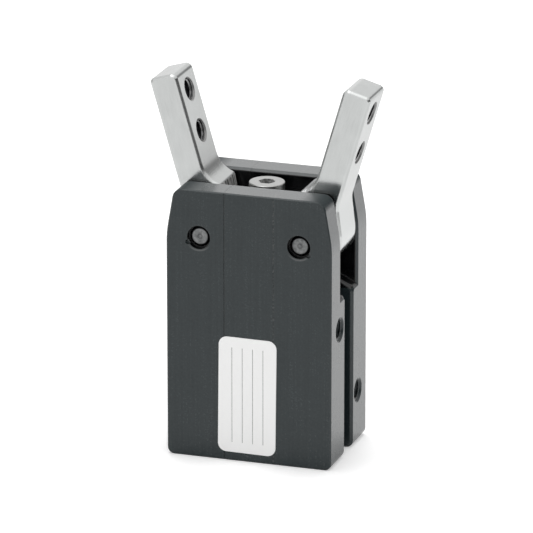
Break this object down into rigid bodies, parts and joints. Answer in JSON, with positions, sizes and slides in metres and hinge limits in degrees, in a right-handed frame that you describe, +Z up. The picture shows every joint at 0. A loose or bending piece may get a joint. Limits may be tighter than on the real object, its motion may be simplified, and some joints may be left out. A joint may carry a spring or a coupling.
{
  "type": "angular gripper",
  "caption": "Small pneumatic angular gripper: slotted black body, bell-crank fingers on cross pins that swing open and shut, driven by a piston rod's coupling block.",
  "frame": {"origin": "mouth of the locating recess, in the middle of the base face", "axes": "+Z up the piston rod towards the finger tips, +X across the fingers towards the side with the air ports, -Y out of the face with the label"},
  "size_m": [0.0314, 0.0163, 0.0533],
  "materials": {
    "anodised_black": "black anodised, fine satin",
    "stainless": "machined stainless, fine brushed",
    "pin_steel": "ground steel, dull ends",
    "screw_steel": "turned stainless",
    "drive_steel": "milled steel",
    "hard_chrome": "ground and hard chromed",
    "bare_aluminium": "turned, clear finish",
    "bronze": "sintered bronze",
    "spring_steel": "phosphated spring steel",
    "magnet": "ferrite ring",
    "nitrile": "moulded nitrile",
    "cushion": "moulded polyurethane",
    "label_film": "white vinyl film"
  },
  "bodies": {
    "housing": {"body": "anodised_black", "end_cap": "bare_aluminium", "cap_seal": "nitrile", "cap_retaining_ring": "spring_steel", "rod_bush": "bronze", "rod_seal": "nitrile", "upper_bumper": "cushion", "lower_bumper": "cushion", "pivot_pin_left": "pin_steel", "pivot_pin_right": "pin_steel", "label": "label_film"},
    "piston_unit": {"piston": "bare_aluminium", "piston_seal": "nitrile", "magnet_ring": "magnet", "piston_plate": "bare_aluminium", "piston_rod": "hard_chrome", "drive_block": "drive_steel", "joint_screw": "screw_steel"},
    "finger_left_unit": {"finger_left": "stainless"},
    "finger_right_unit": {"finger_right": "stainless"}
  },
  "joints": [
    {"name": "left_finger_pivot", "type": "hinge", "parent": "housing", "child": "finger_left_unit", "pos_m": [-0.0072, 0, 0.0319], "axis": [0, 1, 0], "range_deg": [0, 20]},
    {"name": "right_finger_pivot", "type": "hinge", "parent": "housing", "child": "finger_right_unit", "pos_m": [0.0072, 0, 0.0319], "axis": [0, -1, 0], "range_deg": [0, 20]},
    {"name": "rod_slide", "type": "slide", "parent": "housing", "child": "piston_unit", "axis": [0, 0, 1], "range_m": [-0.00156, 0]}
  ],
  "couplings": [
    {"joint": "right_finger_pivot", "follows": "left_finger_pivot", "ratio": 1},
    {"joint": "rod_slide", "follows": "left_finger_pivot", "m_per_rad": -0.0044497}
  ]
}
